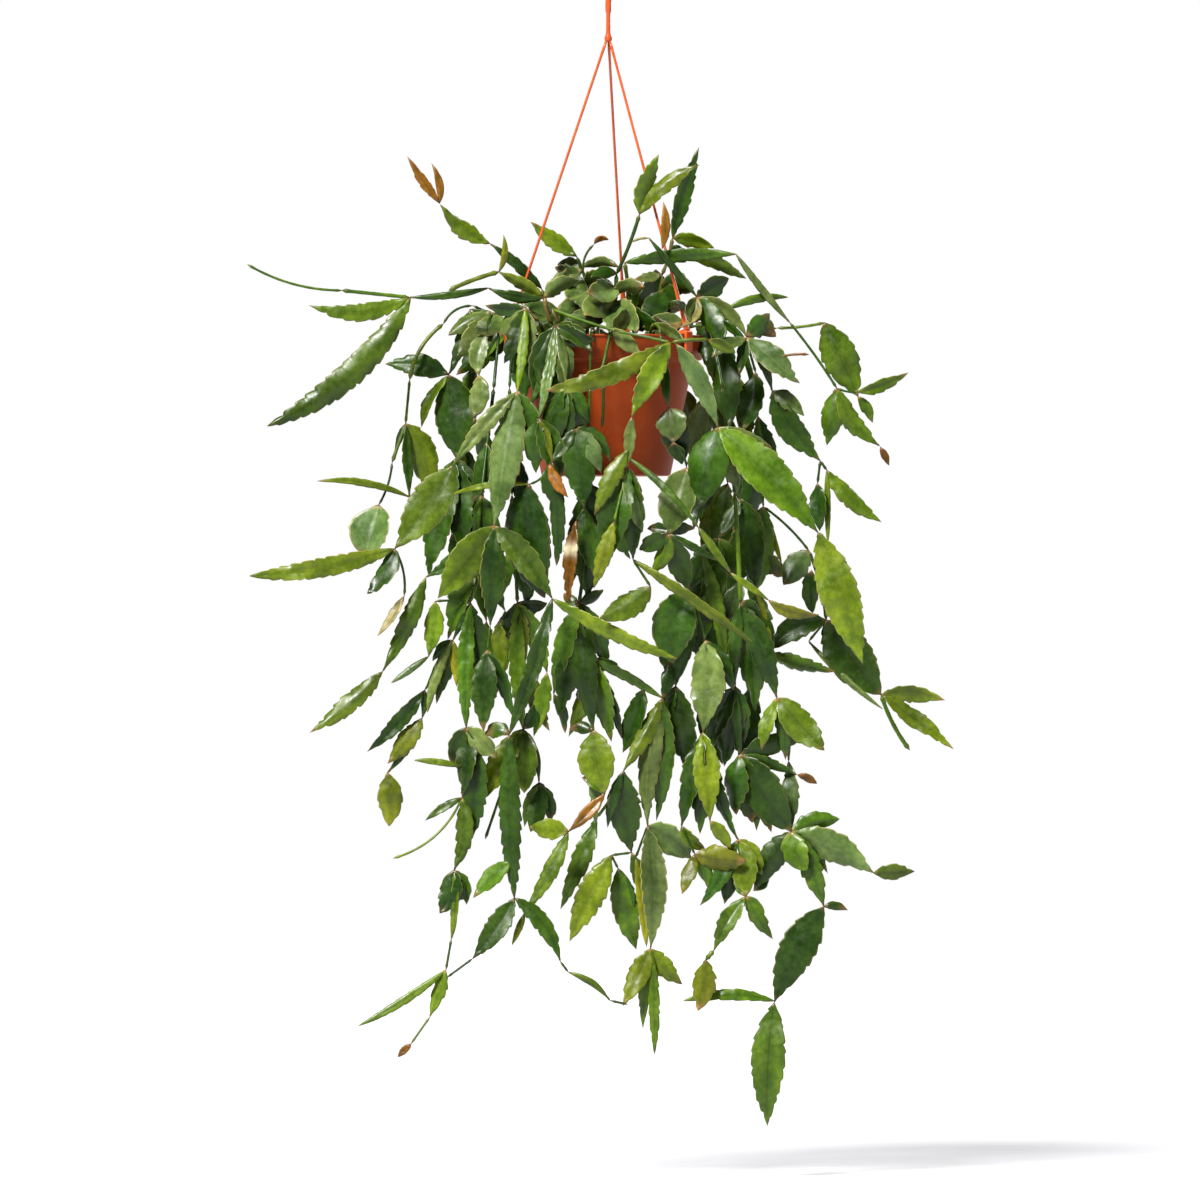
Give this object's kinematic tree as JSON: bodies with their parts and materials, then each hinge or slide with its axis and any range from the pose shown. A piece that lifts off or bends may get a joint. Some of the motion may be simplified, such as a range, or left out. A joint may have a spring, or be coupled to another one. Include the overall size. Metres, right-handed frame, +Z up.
{
  "type": "potted trailing cactus",
  "caption": "Hanging pot of flat-jointed trailing cactus with long leaf-like links, three wires and a hook.",
  "frame": {"origin": "seat inside the hanger's hook, where it rests on what holds it", "axes": "+Z up along the hook's shank, -Y towards the front shown in the picture, +X to its right"},
  "size_m": [0.5278, 0.2293, 0.8723],
  "materials": {
    "terracotta_plastic": "satin",
    "potting_soil": "rough",
    "hanger_plastic": "satin",
    "green_growth": "waxy",
    "young_growth": "waxy"
  },
  "bodies": {
    "root": {"pot": "terracotta_plastic", "soil": "potting_soil", "hanger_hook": "hanger_plastic", "hanger_wire_left": "hanger_plastic", "hanger_wire_right": "hanger_plastic", "hanger_wire_back": "hanger_plastic", "shoot_left_reach": "green_growth", "shoot_upper_left": "green_growth", "shoot_front_cross": "green_growth", "shoot_right_top": "green_growth", "shoot_right_strap": "green_growth", "shoot_upright": "green_growth", "shoot_upright_right": "green_growth", "shoot_crown": "green_growth", "shoot_left_arch": "green_growth", "shoot_left_curtain": "green_growth", "shoot_left_strap": "green_growth", "shoot_front_left": "green_growth", "shoot_front_mid": "green_growth", "shoot_front_right": "green_growth", "shoot_right_curtain": "green_growth", "shoot_right_mid": "green_growth", "shoot_lower_right": "green_growth", "shoot_lower_left": "green_growth", "shoot_centre_low": "green_growth", "shoot_left_low": "green_growth", "shoot_back_right": "green_growth", "shoot_back_mid_right": "green_growth", "shoot_back_mid": "green_growth", "shoot_back_mid_left": "green_growth", "shoot_back_left": "green_growth", "young_pair_upper_left": "young_growth", "young_bud_top": "young_growth", "young_blade_centre": "young_growth", "young_tip_right": "young_growth", "young_tip_lower": "young_growth"}
  },
  "joints": []
}
